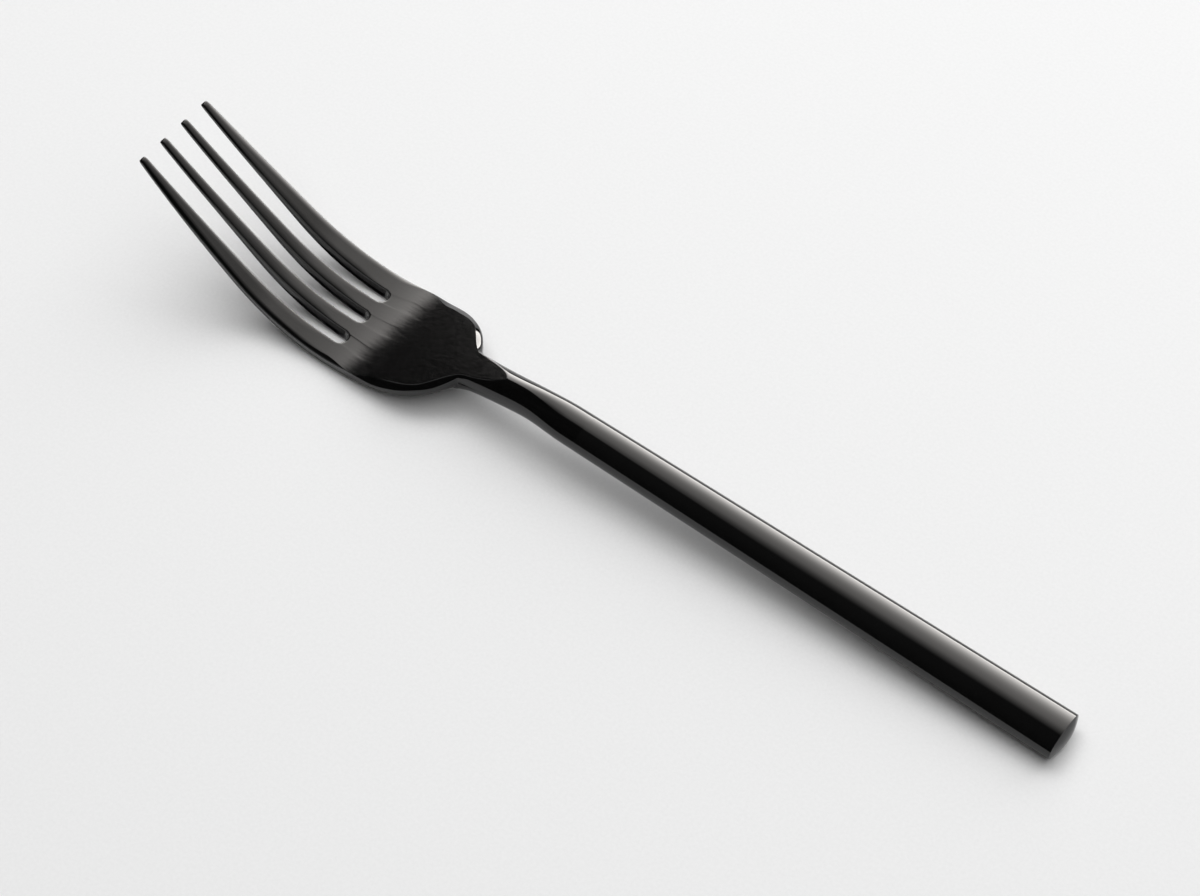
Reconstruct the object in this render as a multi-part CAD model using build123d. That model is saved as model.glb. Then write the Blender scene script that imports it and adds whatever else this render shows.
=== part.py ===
from build123d import *
from math import asin, atan2, cos, degrees, hypot, radians, sin, tan
import os

# Dinner fork: a forged head whose tang is bedded between two half shells, in millimetres
# Lengths run along X from the tine tips to the handle end, Y is across and Z is up from the table

# Length of the head and of the handle
neck_joint_at = 100.0
handle_length = 104.0
cap_rim = 1.1
cap_dome = 1.2

# Side view of the head: the top face, from the tips through the bowl to the neck
tip_at = 0.3
tip_height = 26.9
bowl_bottom_at = 46.3
bowl_radius = 40.0
belly_tightening = 6.0
belly_land = 2.4
tine_bend = 2.9
neck_angle = 16.0
plate_thickness = 2.4
tip_thickness = 1.2

# Plan view of the head
head_width = 25.0
head_widest_at = 50.0
tip_span = 19.6
shoulder_at = 67.5
shoulder_width = 22.1
shoulder_radius = 11.0
shoulder_fall = 5.0
notch_width = 5.2
notch_radius = 2.2
plate_overlap = 1.7

# Tines and the slots between them
slot_count = 3
slot_pitch = 6.3
tip_pitch = 6.03
slot_width = 3.0
slot_mouth_width = 4.5
slot_end_at = 46.3
edge_round = 0.45
edge_bevel = 0.45

# Neck bar behind the bowl: it starts inside the plate, turns round, rises to a bend and meets the handle
keel_start_at = 60.0
keel_start_width = 10.0
keel_start_height = 3.0
keel_start_level = 4.1
notch_bar_at = 72.0
notch_bar_width = 7.8
notch_bar_height = 6.6
notch_bar_level = 6.25
tongue_bar_at = 81.0
tongue_bar_width = 6.95
tongue_bar_height = 6.9
tongue_bar_level = 7.37
bend_at = 88.0
bend_width = 6.95
bend_height = 6.8
bend_level = 8.2
run_in_length = 4.0

# Handle section at the neck joint and at the end, with the level of its seam along the widest line
joint_width = 8.15
joint_height = 6.1
joint_level = 7.85
end_width = 10.2
end_height = 5.9
corner_angle = 70.0

# Tang with its bedding, and the end cap's spigot, between the shells
tang_length = 38.0
tang_width = 4.6
tang_tip_width = 3.0
tang_thickness = 2.4
bedding = 0.45
spigot_length = 4.0
spigot_width = 5.0
spigot_height = 2.6
fit_clearance = 0.05

# Rings of the domed end face as shares of the rim, and the cosines that tell one direction and up
dome_rings = (1.0, 0.7, 0.35)
nearly_one = 0.999
facing_up = 0.5

# Places worked out from the sizes above
handle_end_at = neck_joint_at + handle_length
cap_face_at = handle_end_at + cap_rim
end_level = end_height / 2
belly_radius = bowl_radius - belly_tightening
bowl_ahead = bowl_bottom_at - tip_at
bowl_above = plate_thickness + bowl_radius - tip_height
straight_angle = asin(bowl_radius / hypot(bowl_ahead, bowl_above)) - atan2(bowl_above, bowl_ahead)
tine_angle = degrees(straight_angle) - tine_bend
notch_at = shoulder_at + shoulder_fall
plate_end_at = notch_at + plate_overlap


def section_plane(at):
    # Plane across the fork, with its own X along the fork's Y and its own Y up
    return Plane(origin=(at, 0, 0), x_dir=(0, 1, 0), z_dir=(1, 0, 0))


def half_oval(width, height, side):
    # Half of an oval, above (1) or below (-1) its middle line: a tight arc, an arched crown that meets it
    # at the corner angle, and a tight arc again
    angle = radians(corner_angle)
    reach = (width - height) / 2 / (1 + tan(angle) - 1 / cos(angle))
    radius = width / 2 - reach
    corner = (reach + radius * cos(angle), side * radius * sin(angle))
    flank = (reach + radius * cos(angle / 2), side * radius * sin(angle / 2))
    return [
        ThreePointArc((width / 2, 0), flank, corner),
        ThreePointArc(corner, (0, side * height / 2), (-corner[0], corner[1])),
        ThreePointArc((-corner[0], corner[1]), (-flank[0], flank[1]), (-width / 2, 0)),
    ]


def oval(at, width, height, level):
    outline = half_oval(width, height, 1) + half_oval(width, height, -1)
    return section_plane(at) * Pos(0, level) * make_face(outline)


def handle_sizes(at):
    # Width, height and seam level of the straight tapered handle
    share = (at - neck_joint_at) / (cap_face_at - neck_joint_at)
    width = joint_width + share * (end_width - joint_width)
    height = joint_height + share * (end_height - joint_height)
    level = joint_level + share * (end_level - joint_level)
    return width, height, level


def handle_at(at):
    return oval(at, *handle_sizes(at))


def half_section(at, side):
    # Half of the handle, above or below the seam on the oval's middle line
    width, height, level = handle_sizes(at)
    outline = half_oval(width, height, side) + [Line((width / 2, 0), (-width / 2, 0))]
    return section_plane(at) * Pos(0, level) * make_face(outline)


def half_shell(side):
    # Thick half shell with half of the pocket for the bedded tang and half of the cap's socket
    half = loft([half_section(neck_joint_at, side), half_section(handle_end_at, side)], ruled=True)
    return half - tang(bedding + fit_clearance) - spigot(fit_clearance)


def arc_point(foot, angle, radius):
    # Point on an arc that stands on its foot, at an angle from straight down
    return (foot[0] + radius * sin(radians(angle)), foot[1] + radius * (1 - cos(radians(angle))))


def tine_sweep(start, tip):
    return TangentArc(start, tip, tangent=(-cos(radians(tine_angle)), sin(radians(tine_angle))))


def neck_line(start):
    return Line(start, (neck_joint_at, start[1] + (neck_joint_at - start[0]) * tan(radians(neck_angle))))


def top_curve():
    # Top face in side view: tine sweep, bowl and straight neck
    foot = (bowl_bottom_at, plate_thickness)
    tine_end = arc_point(foot, -tine_angle, bowl_radius)
    neck_end = arc_point(foot, neck_angle, bowl_radius)
    return [
        tine_sweep(tine_end, (tip_at, tip_height)),
        ThreePointArc(tine_end, foot, neck_end),
        neck_line(neck_end),
    ]


def low_curve(tip):
    # Lower face in side view, with a narrow flat land under the bowl that stands on the table
    tine_foot = (bowl_bottom_at - belly_land / 2, 0)
    neck_foot = (bowl_bottom_at + belly_land / 2, 0)
    tine_end = arc_point(tine_foot, -tine_angle, belly_radius)
    neck_end = arc_point(neck_foot, neck_angle, belly_radius)
    return [
        tine_sweep(tine_end, tip),
        TangentArc(tine_foot, tine_end, tangent=(-1, 0)),
        Line(tine_foot, neck_foot),
        TangentArc(neck_foot, neck_end, tangent=(1, 0)),
        neck_line(neck_end),
    ]


def head_side():
    # Side view of the plate, thickest at the bowl and thinned to tips cut square
    top = top_curve()
    to_tip = top[0] % 1
    low_tip = (tip_at - tip_thickness * to_tip.Y, tip_height + tip_thickness * to_tip.X)
    low = low_curve(low_tip)
    ends = [Line((tip_at, tip_height), low_tip), Line(top[-1] @ 1, low[-1] @ 1)]
    return Plane.XZ * make_face(top + low + ends)


def under_top_face():
    # Everything below the head's top face, which trims the neck bar flat
    far = (neck_joint_at, -tip_height)
    near = (tip_at, -tip_height)
    top = top_curve()
    frame = [Line(top[-1] @ 1, far), Line(far, near), Line(near, (tip_at, tip_height))]
    return extrude(Plane.XZ * make_face(top + frame), head_width, both=True)


def head_plan():
    # Half outline from the tips over the rounded shoulder to the neck, mirrored about the middle
    half_tip = tip_span / 2
    half_head = head_width / 2
    half_notch = notch_width / 2
    before_tip = -2 * tip_thickness
    shoulder = (shoulder_at, shoulder_width / 2)
    notch = (notch_at, half_notch)
    outline = [
        Line((before_tip, 0), (before_tip, half_tip)),
        TangentArc((head_widest_at, half_head), (before_tip, half_tip), tangent=(-1, 0)),
        TangentArc((head_widest_at, half_head), shoulder, tangent=(1, 0)),
        Line(shoulder, notch),
        Line(notch, (plate_end_at, half_notch)),
        Line((plate_end_at, half_notch), (plate_end_at, 0)),
        Line((plate_end_at, 0), (before_tip, 0)),
    ]
    face = make_face(outline)
    face = fillet(face.vertices().sort_by_distance((*shoulder, 0))[0], shoulder_radius)
    face = fillet(face.vertices().sort_by_distance((*notch, 0))[0], notch_radius)
    return face + mirror(face, Plane.XZ)


def slot_plan():
    # One slot: straight at its round end and opening towards the tips
    half = slot_width / 2
    half_mouth = slot_mouth_width / 2
    round_at = slot_end_at - half
    before_tip = -3 * tip_thickness
    outline = [
        TangentArc((round_at, half), (before_tip, half_mouth), tangent=(-1, 0)),
        TangentArc((round_at, -half), (before_tip, -half_mouth), tangent=(-1, 0)),
        ThreePointArc((round_at, half), (slot_end_at, 0), (round_at, -half)),
        Line((before_tip, half_mouth), (before_tip, -half_mouth)),
    ]
    return make_face(outline)


def plate():
    # Bent plate with its tines: the plan and the side view carried through each other
    plan = head_plan()
    for number in range(slot_count):
        place = number - (slot_count - 1) / 2
        lean = degrees(atan2(place * (slot_pitch - tip_pitch), slot_end_at))
        plan -= Pos(0, place * tip_pitch, 0) * Rot(Z=lean) * slot_plan()
    blank = extrude(plan, 2 * tip_height, both=True)
    bent = blank & extrude(head_side(), head_width, both=True)
    bent = chamfer(bent.edges().filter_by(is_rim) - crest(bent), edge_bevel)
    return fillet(crest(bent), edge_round)


def crest(solid):
    # Edges of the top face along the outline, without those of the slots
    slots_reach = (slot_count - 1) / 2 * slot_pitch + slot_mouth_width / 2
    edges = ShapeList()
    for face in solid.faces().filter_by(lambda face: face.normal_at().Z > facing_up):
        for edge in face.edges().filter_by(is_rim):
            middle = edge.center()
            if abs(middle.Y) > slots_reach or middle.X > slot_end_at + slot_width:
                edges.append(edge)
    return edges


def is_rim(edge):
    # Edges along the two faces: not those round the square tips, not the plate's thickness, not the end
    # inside the neck, and not the lines across a face where one curve of the side view meets the next
    middle = edge.center()
    at_tip = edge.bounding_box().max.X < tip_at + tip_thickness
    across_face = edge.geom_type == GeomType.LINE and runs_across(edge)
    upright = abs(edge.tangent_at(0.5).Z) > nearly_one
    return not (at_tip or across_face or upright or middle.X > plate_end_at - edge_round)


def runs_across(edge):
    return abs(edge.tangent_at(0.5).Y) > nearly_one


def neck_bar():
    # Bar that starts as a keel inside the plate, bends and runs into the handle, trimmed by the top face
    sections = [
        oval(keel_start_at, keel_start_width, keel_start_height, keel_start_level),
        oval(notch_bar_at, notch_bar_width, notch_bar_height, notch_bar_level),
        oval(tongue_bar_at, tongue_bar_width, tongue_bar_height, tongue_bar_level),
        oval(bend_at, bend_width, bend_height, bend_level),
        handle_at(neck_joint_at - run_in_length),
        handle_at(neck_joint_at),
    ]
    return loft(sections) & under_top_face()


def tang(gap=0.0):
    # Flat tapered tang down the middle of the handle, or with a gap round it the bedding or a pocket
    ends = []
    for at, width in ((neck_joint_at, tang_width), (neck_joint_at + tang_length + gap, tang_tip_width)):
        middle = section_plane(at) * Pos(0, handle_sizes(at)[2])
        ends.append(middle * Rectangle(width + 2 * gap, tang_thickness + 2 * gap))
    return loft(ends, ruled=True)


def spigot(gap=0.0):
    # Square spigot between the shells at the end of the handle, or with a gap round it the socket
    size = Rectangle(spigot_width + 2 * gap, spigot_height + 2 * gap)
    face = section_plane(handle_end_at) * Pos(0, handle_sizes(handle_end_at)[2]) * size
    return extrude(face, -spigot_length - gap)


def end_cap():
    # Rim flush with the shells, softly domed end face and the spigot
    width, height, level = handle_sizes(cap_face_at)
    rings = []
    for share in dome_rings:
        at = cap_face_at + cap_dome * (1 - share**2)
        rings.append(oval(at, share * width, share * height, level))
    rim = loft([handle_at(handle_end_at), handle_at(cap_face_at)], ruled=True)
    return rim + loft(rings) + spigot()


pieces = {
    "fork_head": plate() + neck_bar() + tang(),
    "handle_upper_shell": half_shell(1),
    "handle_lower_shell": half_shell(-1),
    "handle_end_cap": end_cap(),
    "handle_filler": tang(bedding) - tang(fit_clearance),
}

# Put the middle of the fork's length over the origin and write one file for each piece
first = pieces["fork_head"].bounding_box().min.X
last = pieces["handle_end_cap"].bounding_box().max.X
os.makedirs("parts", exist_ok=True)
for node, shape in pieces.items():
    export_step(Pos(-(first + last) / 2, 0, 0) * shape, f"parts/{node}.step")
    print(node, round(shape.volume, 1), "mm3")
print("length", round(last - first, 2), "mm")
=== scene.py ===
import math

import bpy
import numpy as np
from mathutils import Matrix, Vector


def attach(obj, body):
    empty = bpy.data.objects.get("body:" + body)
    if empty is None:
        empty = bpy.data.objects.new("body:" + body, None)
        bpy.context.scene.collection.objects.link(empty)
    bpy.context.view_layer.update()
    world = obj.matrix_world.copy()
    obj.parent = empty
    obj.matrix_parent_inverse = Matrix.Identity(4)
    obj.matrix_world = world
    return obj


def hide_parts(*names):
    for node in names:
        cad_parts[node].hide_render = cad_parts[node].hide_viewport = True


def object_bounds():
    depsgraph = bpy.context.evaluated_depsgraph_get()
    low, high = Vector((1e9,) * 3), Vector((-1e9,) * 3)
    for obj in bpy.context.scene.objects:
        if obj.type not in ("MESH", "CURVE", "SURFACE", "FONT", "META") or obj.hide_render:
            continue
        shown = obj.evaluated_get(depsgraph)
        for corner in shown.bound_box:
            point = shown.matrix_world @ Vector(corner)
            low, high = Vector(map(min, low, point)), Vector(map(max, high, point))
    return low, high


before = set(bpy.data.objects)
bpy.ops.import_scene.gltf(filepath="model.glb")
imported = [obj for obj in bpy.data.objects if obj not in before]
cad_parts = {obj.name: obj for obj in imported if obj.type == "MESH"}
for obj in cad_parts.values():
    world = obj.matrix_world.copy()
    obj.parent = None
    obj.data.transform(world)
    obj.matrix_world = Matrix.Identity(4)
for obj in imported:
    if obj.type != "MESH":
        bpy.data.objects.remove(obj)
cadLow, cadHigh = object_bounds()
mm = 0.001
far = 99.0  # mm, stands for no limit
sharpAngle = 26.0  # degrees over which an edge is shaded sharp
forkEnd = 206.153  # mm from the line through the tine tips to the domed end of the handle
tipsAt = cadHigh.x / mm - forkEnd  # place of that line in the frame, mm
print("frame loaded, tips line at", round(tipsAt, 2), "mm")


# small tools for curves

def ease(low, high, x):
    # 0 before low, 1 after high, 3t^2 - 2t^3 between
    t = np.clip((x - low) / (high - low), 0, 1)
    return t * t * (3 - 2 * t)


def mix(first, second, share):
    return first + (second - first) * share


def softMin(a, b, reach):
    # smaller of two values, with the corner between them rounded over reach
    near = np.clip(reach - np.abs(a - b), 0, None) / reach
    return np.minimum(a, b) - near * near * reach / 4


def softMax(a, b, reach):
    return -softMin(-a, -b, reach)


def through(stations, values, x):
    # cubic Hermite curve through a few stations, with the slopes of their neighbours
    s = np.asarray(stations, float)
    v = np.asarray(values, float)
    slope = np.gradient(v, s)
    k = np.clip(np.searchsorted(s, x) - 1, 0, len(s) - 2)
    step = s[k + 1] - s[k]
    t = (x - s[k]) / step
    return ((2 * t**3 - 3 * t**2 + 1) * v[k] + (t**3 - 2 * t**2 + t) * step * slope[k]
            + (3 * t**2 - 2 * t**3) * v[k + 1] + (t**3 - t**2) * step * slope[k + 1])


def steps(*runs):
    # rising stations: each run is (start, end, spacing)
    parts = [np.linspace(a, b, max(2, round((b - a) / gap) + 1))[:-1] for a, b, gap in runs]
    return np.concatenate(parts + [[runs[-1][1]]])


def gridFaces(rows, columns, base=0):
    # quads of a grid of points numbered row by row
    index = base + np.arange(rows * columns).reshape(rows, columns)
    corners = (index[:-1, :-1], index[1:, :-1], index[1:, 1:], index[:-1, 1:])
    return np.stack(corners, -1).reshape(-1, 4)


def putMesh(name, sheets, node, marks=None):
    # each sheet is a grid of points in mm; grids are welded where they meet, and a quad that closes
    # on a pole becomes a triangle; marks holds one value for each point, kept as attributes
    points, quads, base = [], [], 0
    for sheet in sheets:
        rows, columns = sheet.shape[:2]
        quads.append(gridFaces(rows, columns, base))
        points.append(sheet.reshape(-1, 3))
        base += rows * columns
    points = np.concatenate(points)
    grid = np.round(points * 1000).astype(np.int64)  # one micrometre
    _, first, weld = np.unique(grid, axis=0, return_index=True, return_inverse=True)
    quads = weld.reshape(-1)[np.concatenate(quads)]
    same = quads == np.roll(quads, -1, axis=1)
    whole = quads[~same.any(axis=1)]
    onPole = same.sum(axis=1) == 1
    poles = quads[onPole][~same[onPole]].reshape(-1, 3)
    places = (points[first] + (tipsAt, 0, 0)) * mm
    mesh = bpy.data.meshes.new(name)
    mesh.from_pydata(places.tolist(), [], whole.tolist() + poles.tolist())
    mesh.update()
    mesh.shade_smooth()
    mesh.set_sharp_from_angle(angle=math.radians(sharpAngle))
    for mark, parts in (marks or {}).items():
        values = np.concatenate([part.reshape(-1) for part in parts])[first]
        layer = mesh.attributes.new(mark, "FLOAT", "POINT")
        layer.data.foreach_set("value", values.astype(np.float32))
    piece = bpy.data.objects.new(name, mesh)
    bpy.context.scene.collection.objects.link(piece)
    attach(piece, "root")
    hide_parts(node)
    print(name, len(places), "points,", 2 * len(whole) + len(poles), "triangles")


# neck and handle sections

handleSizes = {
    "joint": 100.0, "rim": 205.1, "shellEnd": 204.0,  # mm from the tips line
    "width": (8.15, 10.2), "height": (6.1, 5.9), "level": (7.85, 2.95), "cornerAngle": 70.0,
    "pocketEnd": 138.5, "pocket": (5.6, 3.4), "dome": 1.05, "rimRound": 0.2,
    "spigotEnd": 200.0, "spigot": (5.0, 2.6),
    "shellPoints": 121, "shellRows": (16, 26), "capPoints": 241,
}


def handleAt(x):
    # width, height and middle level of the straight tapered handle
    h = handleSizes
    share = (x - h["joint"]) / (h["rim"] - h["joint"])
    return tuple(mix(*h[key], share) for key in ("width", "height", "level"))


def ovalPoint(turn, width, height):
    # point of a four-arc oval whose outward normal stands at this angle from +Y towards +Z
    angle = math.radians(handleSizes["cornerAngle"])
    reach = (width - height) / 2 / (1 + math.tan(angle) - 1 / math.cos(angle))
    side = width / 2 - reach
    crown = side + reach / math.cos(angle)
    onCrown = np.abs(np.sin(turn)) > math.sin(angle)
    radius = np.where(onCrown, crown, side)
    middleY = np.where(onCrown, 0, reach * np.sign(np.cos(turn)))
    middleZ = np.where(onCrown, (height / 2 - crown) * np.sign(np.sin(turn)), 0)
    return middleY + radius * np.cos(turn), middleZ + radius * np.sin(turn)


def ovalHeight(y, half, height):
    # height of the same oval over its middle line, where its size changes from station to station
    angle = math.radians(handleSizes["cornerAngle"])
    reach = (half - height / 2) / (1 + math.tan(angle) - 1 / math.cos(angle))
    side = half - reach
    crown = side + reach / math.cos(angle)
    y = np.minimum(np.abs(y), half)
    top = height / 2 - crown + np.sqrt(np.clip(crown**2 - y**2, 0, None))
    flank = np.sqrt(np.clip(side**2 - (y - reach)**2, 0, None))
    return np.where(y < reach + side * math.cos(angle), top, flank)


def blockPoint(turn, width, height):
    # point of a bar with rounded corners: a superellipse of power 8
    y, z = np.cos(turn), np.sin(turn)
    scale = (np.abs(y)**8 + np.abs(z)**8)**(-1 / 8)
    return width / 2 * y * scale, height / 2 * z * scale


def superRise(share):
    # height of a superellipse of power 6 against its share of the half width
    return np.clip(1 - share**6, 0, None)**(1 / 6)


# head: a bent plate with four tines that runs into a round neck

headSizes = {
    # side view
    "tip": (0.3, 26.9), "bottomAt": 46.3, "bowlRadius": 40.0, "tineAngle": 34.0, "neckAngle": 16.0,
    "thick": 2.4, "tipThick": 1.2, "shoulderThick": 0.9, "wallShare": 0.55,
    # plan
    "halfWidth": 12.5, "halfTips": 9.8, "tinePower": 2.1, "widestAt": 50.0,
    "shoulderEnd": 72.3, "shoulderPower": 3.4, "notchRound": 3.2,
    "pitch": 6.33, "tipPitch": 6.03, "slotHalf": 1.5, "slotEnd": 46.3, "mouthHalf": 2.25, "mouthPower": 1.7,
    "nose": 1.0, "noseCorner": 0.3, "noseCornerEnd": 3.0, "noseAt": 0.06,
    # soft rims: widths, and degrees at their inner and outer edges
    "tineRim": 1.1, "tineRimTilt": 20.0, "rimLeast": 0.12, "rimMost": 0.5, "rimBlend": 0.3,
    "bevel": 1.4, "bevelTilt": (29.0, 36.0),  # polished rim round the flat
    "crown": 1.5, "crownTilt": 9.0, "crownLess": 0.6, "crownMost": 0.95,  # tine's top towards a slot
    "slotRim": 0.4, "slotRimTilt": (11.0, 25.0),  # narrow polished rim along a slot
    "slotDraft": 0.5, "draftReach": 1.2,  # slot walls lean in towards the bottom
    "topRound": (0.18, 0.07), "backRound": 0.45, "bottomRound": (1.1, 0.4), "bottomMost": 0.4,
    "runOut": 0.03, "runOutLength": 4.2,  # grinding mark behind a slot
    "archEnd": 8.0,  # rows curve round a slot's end and are straight this far behind it
    # flat top: half width at stations through the notch, then the tongue in the neck
    "flatAt": (57.0, 61.0, 64.7, 66.6, 68.3, 70.2, 71.5, 73.0, 74.5, 77.3, 80.2, 100.0),
    "flatHalf": (11.2, 10.5, 9.7, 8.75, 6.95, 4.75, 3.6, 2.95, 2.5, 1.9, 1.36, 0.6),
    "flatRound": 0.08, "tongueLeast": 0.6,
    # neck's round bar, with an underside that is squarer under the shoulder
    "barAt": (58, 72, 81, 88, 96, 100),
    "barWidth": (10.5, 7.8, 6.95, 6.95, 8.07, 8.15),
    "barHeight": (2.6, 6.6, 6.9, 6.8, 6.11, 6.1),
    "barLevel": (3.9, 6.25, 7.37, 8.2, 8.04, 7.85),
    "keelRound": 1.2, "notchSpread": 0.03, "notchAt": 73.0, "notchReach": 2.2,
    "tangEnd": 138.0, "tangHalf": (2.3, 1.5), "tangThick": 2.4,
    # satin top, with painted highlight lines along crisp edges
    "satinFrom": (0.8, 1.0), "satinSlot": (0.0, 0.3), "underSatin": 0.6, "underFrom": (0.0, 1.2),
    "rimLine": 0.12, "slotLine": 0.16, "creaseLine": 0.12, "creaseShare": 0.3,
}
headChanges = {  # stations between which one form of the head runs into the next, mm from the tips line
    "lines": (8.0, 20.0), "draft": (12.0, 36.0), "crown": (36.0, 45.0), "tineRimEnd": (45.0, 52.5),
    "topRound": (46.0, 57.0), "rimLineEnd": (50.0, 54.0), "tilt": (51.5, 53.0), "thick": (52.0, 70.0),
    "bevel": (52.5, 58.5), "flat": (57.0, 61.0), "crease": (57.0, 62.0), "lean": (57.0, 66.0),
    "square": (60.0, 66.0), "backRound": (62.0, 68.0), "wall": (65.0, 74.0), "squareEnd": (69.5, 75.0),
    "lowSide": (71.0, 72.5), "bar": (71.5, 74.5), "tongue": (72.0, 75.0), "creaseEnd": (77.0, 80.5),
}
slotRoundAt = headSizes["slotEnd"] - headSizes["slotHalf"]  # where a slot's round end begins
rimShares = 1 - np.cos(np.linspace(0, math.pi / 2, 10))  # shares that stand close together at a rim


def change(name, x):
    return ease(*headChanges[name], x)


def topLine(x):
    # side view of the top face: a long arc up the tines, the bowl's arc and the straight neck
    h = headSizes
    tineAngle = math.radians(h["tineAngle"])
    neckAngle = math.radians(h["neckAngle"])
    centre = h["thick"] + h["bowlRadius"]
    tineX = h["bottomAt"] - h["bowlRadius"] * math.sin(tineAngle)
    tineZ = centre - h["bowlRadius"] * math.cos(tineAngle)
    neckX = h["bottomAt"] + h["bowlRadius"] * math.sin(neckAngle)
    neckZ = centre - h["bowlRadius"] * math.cos(neckAngle)
    chord = math.hypot(tineX - h["tip"][0], h["tip"][1] - tineZ)
    bend = math.atan2(h["tip"][1] - tineZ, tineX - h["tip"][0]) - tineAngle
    sweep = chord / 2 / math.sin(bend)
    sweepX = tineX + sweep * math.sin(tineAngle)
    sweepZ = tineZ + sweep * math.cos(tineAngle)
    tine = sweepZ - np.sqrt(sweep**2 - (x - sweepX)**2)
    bowl = centre - np.sqrt(np.clip(h["bowlRadius"]**2 - (x - h["bottomAt"])**2, 1, None))
    neck = neckZ + (x - neckX) * math.tan(neckAngle)
    tilt = np.where(x < tineX, np.arcsin((x - sweepX) / sweep),
                    np.arcsin(np.clip((x - h["bottomAt"]) / h["bowlRadius"], -1, math.sin(neckAngle))))
    return np.where(x < tineX, tine, np.where(x < neckX, bowl, neck)), tilt


def barAt(x):
    # width, height and middle level of the neck's round bar
    h = headSizes
    x = np.maximum(x, h["barAt"][0])
    return tuple(through(h["barAt"], h[key], x) for key in ("barWidth", "barHeight", "barLevel"))


def halfOutline(x):
    # half of the head's plan: tines that draw in, a shoulder of power form, then the neck's bar
    h = headSizes
    drawnIn = (h["halfWidth"] - h["halfTips"]) * np.clip(1 - x / h["widestAt"], 0, None)**h["tinePower"]
    reach = np.clip((x - h["widestAt"]) / (h["shoulderEnd"] - h["widestAt"]), 0, 1)
    shoulder = h["halfWidth"] * np.sqrt(1 - reach**h["shoulderPower"])
    plate = np.where(x < h["widestAt"], h["halfWidth"] - drawnIn, shoulder)
    return softMax(plate, barAt(x)[0] / 2, h["notchRound"])


def slotSides(number, x):
    # middle line and half width of a slot, which leans out and opens towards the tips
    h = headSizes
    middle = number * (h["tipPitch"] + (h["pitch"] - h["tipPitch"]) * x / h["slotEnd"])
    opening = np.clip(1 - x / slotRoundAt, 0, None)**h["mouthPower"]
    return middle, h["slotHalf"] + (h["mouthHalf"] - h["slotHalf"]) * opening


def slotDistance(x, y):
    # distance in plan from the nearest slot, beside its straight part or round its end, and the way to it
    nearest, wayX, wayY = far + 0 * (x + y), 0 * (x + y), 0 * (x + y)
    for number in (-1, 0, 1):
        middle, half = slotSides(number, np.minimum(x, slotRoundAt))
        toX, toY = np.minimum(slotRoundAt - x, 0), middle - y
        reach = np.hypot(toX, toY)
        closer = reach - half < nearest
        nearest = np.where(closer, reach - half, nearest)
        wayX, wayY = np.where(closer, toX / reach, wayX), np.where(closer, toY / reach, wayY)
    return np.clip(nearest, 0, None), wayX, wayY


def tongueHalf(x):
    # half width of the flat where it is ground into the round neck, found by halving
    width, height, middle = barAt(x)
    level = topLine(x)[0]
    low, high = 0 * width, width / 2
    for halving in range(24):
        y = (low + high) / 2
        under = middle + ovalHeight(y, width / 2, height) > level
        low, high = np.where(under, y, low), np.where(under, high, y)
    return low


def bevelWidth(x):
    # width of the rim outside the flat: part of a tine, then even round the shoulder
    h = headSizes
    tine = halfOutline(x) - sum(slotSides(1, np.minimum(x, h["slotEnd"])))
    even = h["rimLeast"] + h["tineRim"] * (1 - change("tineRimEnd", x)) + h["bevel"] * change("bevel", x)
    return softMin(even, np.where(x < h["widestAt"], h["rimMost"] * tine, far), h["rimBlend"])


def flatEdge(x):
    # half width of the flat: inside the rim, then its own curve through the notch, then the tongue
    h = headSizes
    notch = through(h["flatAt"], h["flatHalf"], np.maximum(x, h["flatAt"][0]))
    edge = mix(halfOutline(x) - bevelWidth(x), notch, change("flat", x))
    return mix(edge, np.maximum(tongueHalf(x), h["tongueLeast"]), change("tongue", x))


def falls(inside, width, slopeIn, slopeOut):
    # drop of a rim whose slope grows evenly from its inner to its outer edge
    out = np.clip(width - inside, 0, None)
    return slopeIn * out + (slopeOut - slopeIn) / (2 * width) * out**2


def roundFall(inside, radius):
    # drop of a quarter circle along an edge
    gap = np.clip(radius - inside, 0, radius)
    return radius - np.sqrt(radius**2 - gap**2)


def crownWidth(x):
    # how far a tine's top falls towards a slot: less on the slim tips and towards the slot's end
    h = headSizes
    tineHalf = h["tipPitch"] / 2 - slotSides(0, np.minimum(x, slotRoundAt))[1]
    return np.minimum(h["crown"] * (1 - h["crownLess"] * change("crown", x)), h["crownMost"] * tineHalf)


def lineOn(distance, width):
    # 1 on an edge, falling off as exp(-(distance / width)^2)
    return np.exp(-(distance / width)**2)


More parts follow.
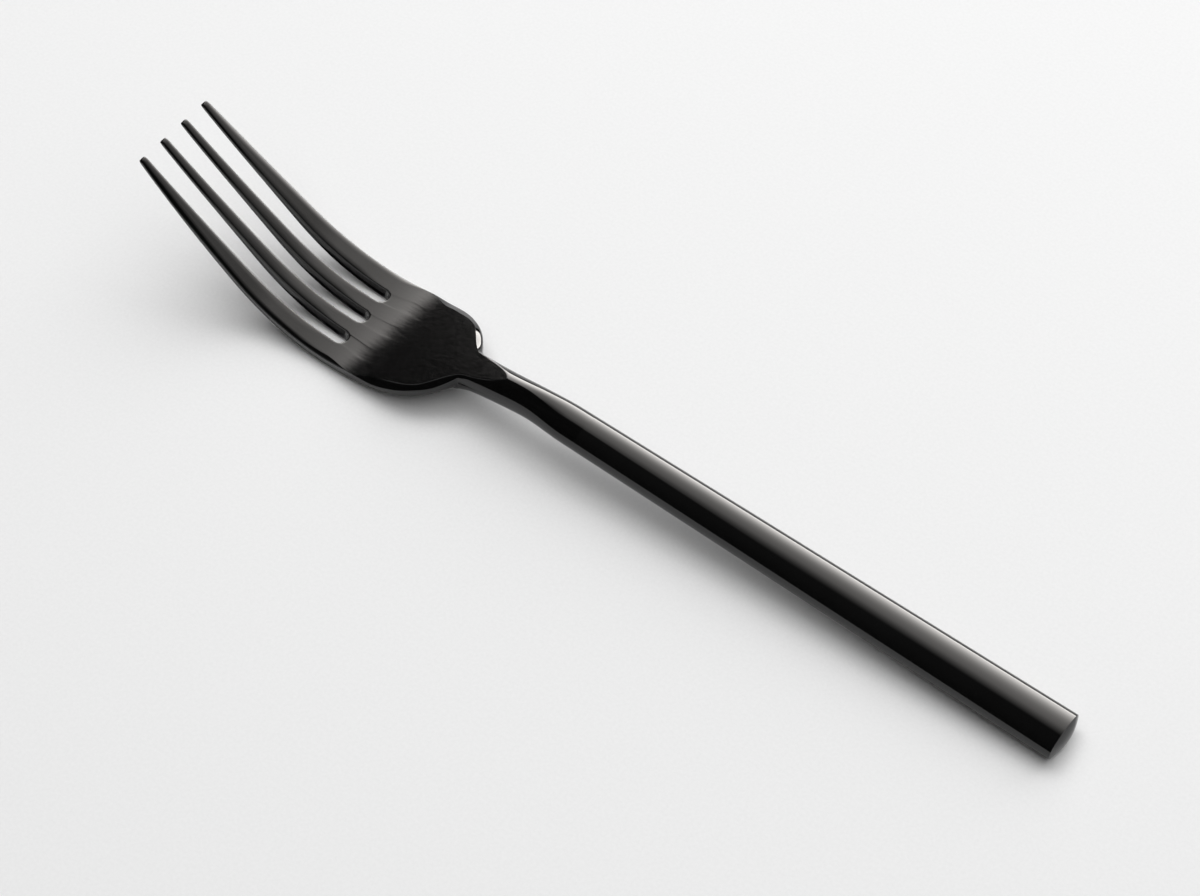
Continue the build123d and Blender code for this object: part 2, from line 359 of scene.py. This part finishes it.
def headSheets(x, y, inside, width, fromTip, onWall, dent):
    # top and bottom of the head over one grid of its plan, with their marks; inside is the distance
    # from the outline, onWall the middle line of a side wall, dent the mark behind a slot
    h = headSizes
    level, tilt = topLine(x)
    lean = tilt * (1 - change("lean", x))
    slot, wayX, wayY = slotDistance(x, y)
    rim = np.minimum(inside, slot)
    draft = h["slotDraft"] * change("draft", x) * (1 - ease(0, h["draftReach"], slot))
    nose = np.sqrt(1 - (1 - np.clip(fromTip / h["nose"], 0, 1))**2)

    # soft rims of the plate
    slopeCrown, slopeSlotIn, slopeSlot = np.tan(np.radians((h["crownTilt"], *h["slotRimTilt"])))
    slopeFlat = np.tan(np.radians(h["bevelTilt"][0] * change("tilt", x)))
    slopeRim = np.tan(np.radians(mix(h["tineRimTilt"], h["bevelTilt"][1], change("tilt", x))))
    soft = falls(slot, crownWidth(x), 0, slopeCrown)
    soft = soft + falls(slot, h["slotRim"], slopeSlotIn - slopeCrown, slopeSlot - slopeCrown)
    topRound = mix(mix(*h["topRound"], change("topRound", x)), h["backRound"], change("backRound", x))
    thick = h["thick"] - (h["thick"] - h["tipThick"]) * np.clip(1 - x / h["bottomAt"], 0, 1)
    thick = thick + h["shoulderThick"] * change("thick", x)

    # round bar of the neck, with a squarer keel under the shoulder
    barWidth, height, middle = barAt(x)
    toBar = change("bar", x)
    wall = h["wallShare"] * thick
    wall = mix(wall, level - middle, change("wall", x))
    rise = ovalHeight(y, barWidth / 2, height)
    lowHalf = mix(barWidth / 2, halfOutline(x), change("lowSide", x))
    square = change("square", x) * (1 - change("squareEnd", x))
    keel = mix(rise, height / 2 * superRise(np.minimum(np.abs(y) / lowHalf, 1)), square)
    inBar = (np.abs(y) < lowHalf) & (x > h["barAt"][0]) & ~onWall

    sheets = []
    for isTop in (True, False):
        if isTop:
            down = falls(inside, width, slopeFlat, slopeRim) + soft + roundFall(rim, topRound) + dent
            barZ = softMin(level, middle + rise, h["flatRound"])
            spread = 0
        else:
            outer, inner = (np.minimum(r, h["bottomMost"] * thick) for r in h["bottomRound"])
            down = thick - roundFall(inside, outer) - roundFall(slot, inner) - soft
            barZ = middle - keel
            spread = h["notchSpread"] * lineOn(x - h["notchAt"], h["notchReach"]) * ~onWall
        down = np.where(onWall, wall, mix(wall, down, nose))
        leaning = draft * np.where(onWall, h["wallShare"], not isTop)
        flatZ = level - down * np.cos(lean)
        if not isTop:
            flatZ = np.where(inBar, softMin(flatZ, barZ, h["keelRound"]), flatZ)
        barZ = np.where(onWall, middle, barZ)
        flatX = x + down * np.sin(lean) + leaning * wayX
        flatY = y * (1 + spread) + leaning * wayY
        sheets.append(np.stack([flatX, flatY, mix(flatZ, barZ, toBar)], -1))

    satin = ease(*h["satinFrom"], inside / width) * ease(*h["satinSlot"], slot)
    satin = satin * (1 - toBar * (middle + rise < level))
    # painted highlight: thin lines along the outer rim, the slot edges and the flat's crease, where a
    # lighter colour stands in for the light these edges catch
    onRim = lineOn(inside, h["rimLine"]) * change("lines", x) * (1 - change("rimLineEnd", x))
    onSlot = lineOn(slot, h["slotLine"]) * change("lines", x)
    onCrease = lineOn(width - inside, h["creaseLine"]) * (inside < width + 0.01)
    onCrease = onCrease * change("crease", x) * (1 - change("creaseEnd", x))
    worn = np.maximum(np.maximum(onRim, onSlot), h["creaseShare"] * onCrease)
    under = h["underSatin"] * ease(*h["underFrom"], rim) * (1 - toBar)
    return sheets, [(satin, np.where(onWall, 0, worn)), (under, 0 * satin)]


def tineColumns(tine, x):
    # across a tine, from its low to its high side: soft rim, columns of the top, soft rim
    lowRim = bevelWidth(x) if tine == 0 else crownWidth(x)
    highRim = bevelWidth(x) if tine == 3 else crownWidth(x)
    low = sum(slotSides(tine - 2, x)) if tine > 0 else -halfOutline(x)
    high = slotSides(tine - 1, x)[0] - slotSides(tine - 1, x)[1] if tine < 3 else halfOutline(x)
    low, high, lowRim, highRim = (v[:, None] for v in (low, high, lowRim, highRim))
    top = low + lowRim + np.array([0.02, 0.2, 0.4, 0.6, 0.8, 0.98]) * (high - highRim - low - lowRim)
    return np.concatenate([low + lowRim * rimShares, top, high - highRim * rimShares[::-1]], axis=1)


def tinePatches():
    # the four tines, each a grid closed by a middle line on both side walls
    h = headSizes
    rows = steps((h["nose"], 4, 0.25), (4, slotRoundAt, 0.6))
    rows = np.concatenate([h["nose"] * rimShares, rows[1:]])
    patches = []
    for tine in range(4):
        y = tineColumns(tine, rows)
        y = np.concatenate([y[:, :1], y, y[:, -1:]], axis=1)
        onWall = np.zeros(y.shape, bool)
        onWall[:, [0, -1]] = True
        low, high = y[:, :1], y[:, -1:]
        across = (2 * y - low - high) / (high - low)
        corner = 1 - np.clip(1 - across**4, 0, None)**0.25  # blunt end with rounded corners
        corner = h["noseCorner"] * corner * (1 - ease(0, h["noseCornerEnd"], rows))[:, None]
        x = h["noseAt"] + rows[:, None] + corner
        inside = y - low if tine == 0 else high - y if tine == 3 else far + 0 * y
        patches.append(headSheets(x, y, inside, bevelWidth(rows)[:, None], rows[:, None], onWall, 0))
    return patches


def backPatches():
    # behind the slots each row runs straight across: rim, flat in strips behind tines and slots, rim
    h = headSizes
    crownEnd = slotRoundAt + h["crown"]
    rows = steps((crownEnd, 52, 0.4), (52, 64, 0.6), (64, 69, 0.25), (69, 70.6, 0.1),
                 (70.6, 72.6, 0.04), (72.6, 75, 0.12), (75, 84, 0.3), (84, 100, 0.9))
    rows = np.concatenate([slotRoundAt + h["crown"] * rimShares, rows[1:]])
    width, flat = bevelWidth(rows), flatEdge(rows)
    share = (flat / flat[0])[:, None]

    across = np.concatenate([[0], rimShares[:-1], [0.94, 1]])  # the side wall, then the rim inwards
    inside = across * width[:, None]
    onWall = np.zeros(inside.shape, bool)
    onWall[:, 0] = True
    x = rows[:, None] + 0 * inside
    y = halfOutline(rows)[:, None] - across * (halfOutline(rows) - flat)[:, None]
    lowRim = headSheets(x, -y, inside, width[:, None], far, onWall, 0)
    flipped = (v[:, ::-1] for v in (x, y, inside))
    highRim = headSheets(*flipped, width[:, None], far, onWall[:, ::-1], 0)

    patches = [lowRim]
    slotAcross = np.sin(np.linspace(-math.pi / 2, math.pi / 2, 17))
    twice = np.concatenate([[0], np.arange(len(rows))])  # first row again, for the wall of a slot's end
    for tine in range(4):
        columns = tineColumns(tine, np.array([slotRoundAt]))[0]
        columns = columns[len(rimShares) - 1:] if tine == 0 else columns
        columns = columns[:1 - len(rimShares)] if tine == 3 else columns
        y = columns * share
        x = rows[:, None] + 0 * y
        inside = width[:, None] + flat[:, None] - np.abs(y)
        patches.append(headSheets(x, y, inside, width[:, None], far, np.zeros(y.shape, bool), 0))
        if tine == 3:
            break
        middle, slotHalf = slotSides(tine - 1, slotRoundAt)
        y = (middle + slotHalf * slotAcross) * share
        behind = rows - slotRoundAt
        arch = slotHalf * np.sqrt(1 - slotAcross**2)
        x = rows[:, None] + arch * (1 - ease(0, h["archEnd"], behind))[:, None]
        dent = h["runOut"] * np.exp(-behind / h["runOutLength"])[:, None] * (1 - slotAcross**6)
        x, y, dent = x[twice], y[twice], dent[twice]
        onSlotWall = np.zeros(y.shape, bool)
        onSlotWall[0] = True
        inside = (width + flat)[twice, None] - np.abs(y)
        patches.append(headSheets(x, y, inside, width[twice, None], far, onSlotWall, dent))
    return patches + [highRim]


def tangSheet(row, way):
    # end face and tang behind the last row of a sheet: y shrinks, z is a superellipse of power 6
    h = headSizes
    joint = handleSizes["joint"]
    across = row[:, 1] / halfOutline(np.array([joint]))
    rise = way * h["tangThick"] / 2 * superRise(across)
    first, last = h["tangHalf"]
    rings = [row]
    for x, half, full in ((joint, first, 1), (h["tangEnd"], last, 1), (h["tangEnd"], last, 0)):
        rings.append(np.stack([x + 0 * across, across * half, handleAt(x)[2] + full * rise], -1))
    return np.stack(rings)


def makeHead():
    sheets, satin, edgeHighlight = [], [], []

    def add(sheet, marks):
        sheets.append(sheet)
        satin.append(marks[0] + np.zeros(sheet.shape[:2]))
        edgeHighlight.append(marks[1] + np.zeros(sheet.shape[:2]))

    front, back = tinePatches(), backPatches()
    for (top, bottom), (topMarks, bottomMarks) in front + back:
        add(top, topMarks)
        add(bottom[:, ::-1], [v[:, ::-1] for v in bottomMarks])
    for (top, bottom), _ in back:
        add(tangSheet(top[-1], 1), (0, 0))
        add(tangSheet(bottom[-1], -1)[:, ::-1], (0, 0))
    # satin sets the roughness; the second mark is where the painted highlight lines go
    putMesh("forkHead", sheets, "fork_head", {"satin": satin, "edgeHighlight": edgeHighlight})


# handle: two thick half shells round the tang and a domed cap

def shellSheets(first, last):
    # half of a thick oval tube between two angles: outside, pocket for the tang, both seams and both ends;
    # past the pocket's end the inner sheet lies flat in the seam
    h = handleSizes
    turn = np.radians(np.linspace(first, last, h["shellPoints"]))
    pocketRows, solidRows = h["shellRows"]
    stations = np.concatenate([np.linspace(h["joint"], h["pocketEnd"], pocketRows),
                               np.linspace(h["pocketEnd"], h["shellEnd"], solidRows)])
    outer, inner = [], []
    for number, x in enumerate(stations):
        width, height, level = handleAt(x)
        y, z = ovalPoint(turn, width, height)
        outer.append(np.stack([x + 0 * y, y, level + z], -1))
        y, z = blockPoint(turn, *h["pocket"])
        inner.append(np.stack([x + 0 * y, y, level + (number < pocketRows) * z], -1))
    outer, inner = np.stack(outer), np.stack(inner)
    return [
        outer[:, ::-1], inner,
        np.stack([outer[:, 0], inner[:, 0]], 1), np.stack([outer[:, -1], inner[:, -1]], 1)[:, ::-1],
        np.stack([outer[0], inner[0]])[:, ::-1], np.stack([outer[-1], inner[-1]]),
    ]


def capSheets():
    # spigot, rim flush with the shells, rounded edge, shallow dome x = rim + dome * (1 - share^2)
    h = handleSizes
    turn = np.radians(np.linspace(0, 360, h["capPoints"]))
    width, height, level = handleAt(h["rim"])
    rings = []
    for x, size in ((h["spigotEnd"], 0), (h["spigotEnd"], 1), (h["shellEnd"], 1)):
        y, z = blockPoint(turn, *h["spigot"])
        rings.append(np.stack([x + 0 * y, size * y, handleAt(x)[2] + size * z], -1))
    sections = [(x, *handleAt(x)) for x in np.linspace(h["shellEnd"], h["rim"] - h["rimRound"], 4)]
    curl = 0.978 + 0.02 * np.cos(np.linspace(0.25, 1.0, 5) * math.pi / 2)
    for share in np.concatenate([curl, np.linspace(0.96, 0, 26)]):
        sections.append((h["rim"] + h["dome"] * (1 - share**2), width * share, height * share, level))
    for x, w, t, z in sections:
        y, up = ovalPoint(turn, w, t) if w > 0 else (0 * turn, 0 * turn)
        rings.append(np.stack([x + 0 * y, y, z + up], -1))
    return [np.stack(rings)[:, ::-1]]


makeHead()
putMesh("handleUpperShell", shellSheets(0, 180), "handle_upper_shell")
putMesh("handleLowerShell", shellSheets(180, 360), "handle_lower_shell")
putMesh("handleEndCap", capSheets(), "handle_end_cap")


# finishes

def newMaterial(name):
    material = bpy.data.materials.new(name)
    material.use_nodes = True
    return material, material.node_tree, material.node_tree.nodes["Principled BSDF"]


def newNode(tree, kind, settings=(), **inputs):
    # one node with its settings, and its inputs set or linked by name (spaces left out)
    node = tree.nodes.new(kind)
    for key, value in dict(settings).items():
        setattr(node, key, value)
    for socket in node.inputs:
        value = inputs.get(socket.name.replace(" ", ""))
        if value is None or not socket.enabled:
            continue
        if isinstance(value, bpy.types.NodeSocket):
            tree.links.new(value, socket)
        else:
            socket.default_value = value
    return node


def maths(tree, operation, first, second=None):
    # a sum on the value of one link, with a number or the value of a second link
    node = newNode(tree, "ShaderNodeMath", {"operation": operation})
    tree.links.new(first, node.inputs[0])
    if isinstance(second, bpy.types.NodeSocket):
        tree.links.new(second, node.inputs[1])
    elif second is not None:
        node.inputs[1].default_value = second
    return node.outputs[0]


def makeGrainGroup():
    # noise drawn out along the fork: Along and Across are cycles per metre, Lines runs from 0 to 1
    group = bpy.data.node_groups.new("polishGrain", "ShaderNodeTree")
    for name, value in (("Along", 40.0), ("Across", 2000.0), ("Detail", 3.0)):
        socket = group.interface.new_socket(name, in_out="INPUT", socket_type="NodeSocketFloat")
        socket.default_value = value
    group.interface.new_socket("Lines", in_out="OUTPUT", socket_type="NodeSocketFloat")
    given = group.nodes.new("NodeGroupInput").outputs
    out = group.nodes.new("NodeGroupOutput")
    place = newNode(group, "ShaderNodeTexCoord")
    scale = newNode(group, "ShaderNodeCombineXYZ", X=given["Along"], Y=given["Across"], Z=given["Across"])
    drawn = newNode(group, "ShaderNodeVectorMath", {"operation": "MULTIPLY"})
    group.links.new(place.outputs["Object"], drawn.inputs[0])
    group.links.new(scale.outputs[0], drawn.inputs[1])
    noise = newNode(group, "ShaderNodeTexNoise", Vector=drawn.outputs[0], Scale=1.0,
                    Detail=given["Detail"], Roughness=0.6)
    spread = newNode(group, "ShaderNodeMapRange", Value=noise.outputs[0], FromMin=0.3, FromMax=0.7)
    group.links.new(spread.outputs[0], out.inputs["Lines"])
    return group


grainGroup = makeGrainGroup()


def grain(tree, along, across, detail=3.0):
    node = newNode(tree, "ShaderNodeGroup", {"node_tree": grainGroup})
    for name, value in (("Along", along), ("Across", across), ("Detail", detail)):
        node.inputs[name].default_value = value
    return node.outputs["Lines"]


def between(tree, factor, low, high):
    # low where the factor is 0, high where it is 1
    return newNode(tree, "ShaderNodeMapRange", Value=factor, ToMin=low, ToMax=high).outputs[0]


def blend(tree, factor, first, second):
    # colour that runs from first to second with the factor
    node = newNode(tree, "ShaderNodeMix", {"data_type": "RGBA"}, Factor=factor, A=first, B=second)
    return node.outputs[2]


def grey(value, warm=0.0):
    return (value * (1 + warm), value, value * (1 - warm), 1)


def connect(tree, shader, colour, roughness, height=None, depth=0.0, strength=1.0):
    # colour, roughness and bump of a finish; depth in metres
    tree.links.new(colour, shader.inputs["Base Color"])
    tree.links.new(roughness, shader.inputs["Roughness"])
    if height is not None:
        bump = newNode(tree, "ShaderNodeBump", Height=height, Strength=strength, Distance=depth)
        tree.links.new(bump.outputs[0], shader.inputs["Normal"])


headFinish = {
    "black": (0.001, 0.003), "worn": 0.14, "wornMetal": 0.85,  # base colour, and a lighter, partly metallic colour painted on crisp edges as highlight lines
    "wornShare": (0.7, 1.0), "bareFrom": 0.4,
    "satin": (0.08, 0.13), "polished": (0.05, 0.08),  # roughness
    "brush": (45.0, 2600.0), "cloud": (60.0, 60.0), "brushDepth": 2e-6,
}


def blackHead():
    f = headFinish
    material, tree, shader = newMaterial("blackBrushedCoat")
    lines = grain(tree, *f["brush"])
    cloud = grain(tree, *f["cloud"])
    satin = newNode(tree, "ShaderNodeAttribute", {"attribute_name": "satin"}).outputs["Fac"]
    edgeHighlight = newNode(tree, "ShaderNodeAttribute", {"attribute_name": "edgeHighlight"}).outputs["Fac"]
    # painted highlight: the edge lines get a lighter colour, broken up by the cloud, and turn metallic
    # where they are strongest
    worn = maths(tree, "MULTIPLY", edgeHighlight, between(tree, cloud, *f["wornShare"]))
    black = blend(tree, lines, grey(f["black"][0]), grey(f["black"][1]))
    colour = blend(tree, worn, black, grey(f["worn"]))
    polished = between(tree, cloud, *f["polished"])
    roughness = between(tree, satin, polished, between(tree, lines, *f["satin"]))
    connect(tree, shader, colour, roughness, maths(tree, "MULTIPLY", lines, satin), f["brushDepth"])
    highlightMetallic = newNode(tree, "ShaderNodeMapRange", Value=worn, FromMin=f["bareFrom"], ToMax=f["wornMetal"])
    tree.links.new(highlightMetallic.outputs[0], shader.inputs["Metallic"])
    return material


handleFinish = {
    "black": (0.003, 0.004), "polished": (0.035, 0.06),  # base colour, roughness
    "cloud": (50.0, 90.0), "polishLines": (20.0, 700.0), "lineDepth": 4e-7,
}


def blackHandle():
    f = handleFinish
    material, tree, shader = newMaterial("blackPolishedCoat")
    cloud = grain(tree, *f["cloud"])
    colour = blend(tree, cloud, grey(f["black"][0]), grey(f["black"][1]))
    roughness = between(tree, cloud, *f["polished"])
    connect(tree, shader, colour, roughness, grain(tree, *f["polishLines"]), f["lineDepth"])
    return material


cementFinish = {
    "dark": (0.38, 0.06), "pale": (0.55, 0.05), "rough": (0.75, 0.95),
    "sand": (900.0, 900.0, 5.0), "sandDepth": 1e-4, "sandStrength": 0.6,
}


def cement():
    f = cementFinish
    material, tree, shader = newMaterial("beddingCement")
    sand = grain(tree, *f["sand"])
    colour = blend(tree, sand, grey(*f["dark"]), grey(*f["pale"]))
    connect(tree, shader, colour, between(tree, sand, *f["rough"]), sand, f["sandDepth"], f["sandStrength"])
    return material


def dress(name, material):
    piece = bpy.data.objects[name]
    piece.data.materials.clear()
    piece.data.materials.append(material)


dress("forkHead", blackHead())
handleCoat = blackHandle()
for name in ("handleUpperShell", "handleLowerShell", "handleEndCap"):
    dress(name, handleCoat)
dress("handle_filler", cement())
print("finishes on")


# floor, light and camera

stageSizes = {
    "floor": 2.5, "floorGrey": (0.79, 0.82), "floorRough": (0.85, 0.95),  # metres, base colour, roughness
    "fleck": 1500.0,  # cycles per metre
    # soft lamps that throw the shadow: place and width in metres, watts
    "lamps": (((-0.1, 1.2, 0.9), 1.6, 16.3), ((0.2, 0.2, 1.2), 2.4, 18.2), ((-0.7, 0.4, 1.3), 0.9, 6.4)),
    # panel: metres, degrees with azimuth from +Y towards +X, and its warm tint
    "radius": 1.6, "elevation": (8.0, 80.0), "azimuth": (-58.0, 75.0), "panelGrid": (48, 64), "warm": 0.035,
    # light against the sine of the elevation, and share of it against the azimuth in degrees
    "rise": ((0.139, 14.0), (0.375, 10.5), (0.545, 6.0), (0.669, 3.7), (0.766, 2.6), (0.839, 2.1),
             (0.883, 1.8), (0.927, 1.1), (0.966, 0.4), (0.985, 0.0)),
    "turn": ((-57.2, 0.0), (-54.4, 0.8), (-20, 0.9), (-5, 1.0), (20, 0.85), (40, 0.45), (56, 0.22),
             (75, 0.1)),
    "worldGrey": 0.02,
}


def putStage(name, places, faces, material):
    mesh = bpy.data.meshes.new(name)
    mesh.from_pydata(places, [], faces)
    piece = bpy.data.objects.new(name, mesh)
    bpy.context.scene.collection.objects.link(piece)
    dress(name, material)
    return piece


def makeFloor():
    s = stageSizes
    material, tree, shader = newMaterial("paleFloor")
    fleck = grain(tree, s["fleck"], s["fleck"])
    low, high = (grey(value) for value in s["floorGrey"])
    connect(tree, shader, blend(tree, fleck, low, high), between(tree, fleck, *s["floorRough"]))
    shader.inputs["Specular IOR Level"].default_value = 0.0
    half = s["floor"]
    corners = [(-half, -half, 0), (half, -half, 0), (half, half, 0), (-half, half, 0)]
    putStage("floor", corners, [(0, 1, 2, 3)], material)


def rampOf(tree, factor, stops, low, high, top):
    # straight-line curve through a few stops, as shares of the top value
    share = newNode(tree, "ShaderNodeMapRange", Value=factor, FromMin=low, FromMax=high).outputs[0]
    ramp = newNode(tree, "ShaderNodeValToRGB", Fac=share)
    elements = ramp.color_ramp.elements
    while len(elements) < len(stops):
        elements.new(0.5)
    for element, (at, value) in zip(elements, stops):
        element.position = (at - low) / (high - low)
    for element, (at, value) in zip(elements, stops):
        element.color = grey(value / top)
    return ramp.outputs[0]


def panelGlow():
    # light that depends on elevation and azimuth alone
    s = stageSizes
    material = bpy.data.materials.new("panelGlow")
    material.use_nodes = True
    tree = material.node_tree
    tree.nodes.clear()
    place = newNode(tree, "ShaderNodeTexCoord").outputs["Object"]
    split = newNode(tree, "ShaderNodeSeparateXYZ", Vector=place).outputs
    height = maths(tree, "DIVIDE", split["Z"], s["radius"])
    angle = maths(tree, "DEGREES", maths(tree, "ARCTAN2", split["X"], split["Y"]))
    top = s["rise"][0][1]
    rise = rampOf(tree, height, s["rise"], 0.0, 1.0, top)
    turn = rampOf(tree, angle, s["turn"], -90.0, 90.0, 1.0)
    colour = blend(tree, maths(tree, "MULTIPLY", rise, turn), grey(0.0), grey(1.0, s["warm"]))
    glow = newNode(tree, "ShaderNodeEmission", Color=colour, Strength=top)
    tree.links.new(glow.outputs[0], newNode(tree, "ShaderNodeOutputMaterial").inputs["Surface"])
    return material


def makePanel():
    # soft panel on part of a sphere behind the fork, brightest near the floor, seen in reflections alone
    s = stageSizes
    rows, columns = s["panelGrid"]
    up = np.radians(np.linspace(*s["elevation"], rows))[:, None]
    around = np.radians(np.linspace(*s["azimuth"], columns))
    x, y, z = np.cos(up) * np.sin(around), np.cos(up) * np.cos(around), np.sin(up) + 0 * around
    places = s["radius"] * np.stack([x, y, z], -1).reshape(-1, 3)
    panel = putStage("softPanel", places.tolist(), gridFaces(rows, columns).tolist(), panelGlow())
    panel.visible_camera = False
    panel.visible_diffuse = False
    panel.visible_shadow = False


def makeLamps():
    # left out of reflections, which show the panel alone
    for number, (place, width, power) in enumerate(stageSizes["lamps"]):
        light = bpy.data.lights.new("softLamp%d" % number, "AREA")
        light.size = width
        light.energy = power
        lamp = bpy.data.objects.new("softLamp%d" % number, light)
        lamp.location = place
        lamp.rotation_euler = (-Vector(place)).to_track_quat("-Z", "Y").to_euler()
        lamp.visible_glossy = False
        bpy.context.scene.collection.objects.link(lamp)


cameraSizes = {
    "eye": (287.66, -249.61, 439.72), "aim": (100.63, 3.55, 0.0),  # mm from the tips line
    "focal": 2833.0, "imageWidth": 1200.0,  # pixels
    "sensor": 36.0, "clipStart": 0.01,
}


def makeCamera():
    c = cameraSizes
    lens = bpy.data.cameras.new("camera")
    lens.sensor_width = c["sensor"]
    lens.sensor_fit = "HORIZONTAL"
    lens.lens = c["focal"] / c["imageWidth"] * c["sensor"]
    lens.clip_start = c["clipStart"]
    eye, aim = ((Vector(c[key]) + Vector((tipsAt, 0, 0))) * mm for key in ("eye", "aim"))
    camera = bpy.data.objects.new("camera", lens)
    camera.rotation_euler = (aim - eye).to_track_quat("-Z", "Y").to_euler()
    camera.location = eye
    bpy.context.scene.collection.objects.link(camera)
    bpy.context.scene.camera = camera


def makeWorld():
    world = bpy.data.worlds.new("studio")
    world.use_nodes = True
    world.node_tree.nodes["Background"].inputs["Color"].default_value = grey(stageSizes["worldGrey"])
    bpy.context.scene.world = world
    bpy.context.scene.view_settings.view_transform = "Standard"


makeFloor()
makePanel()
makeLamps()
makeWorld()
makeCamera()
print("stage set")
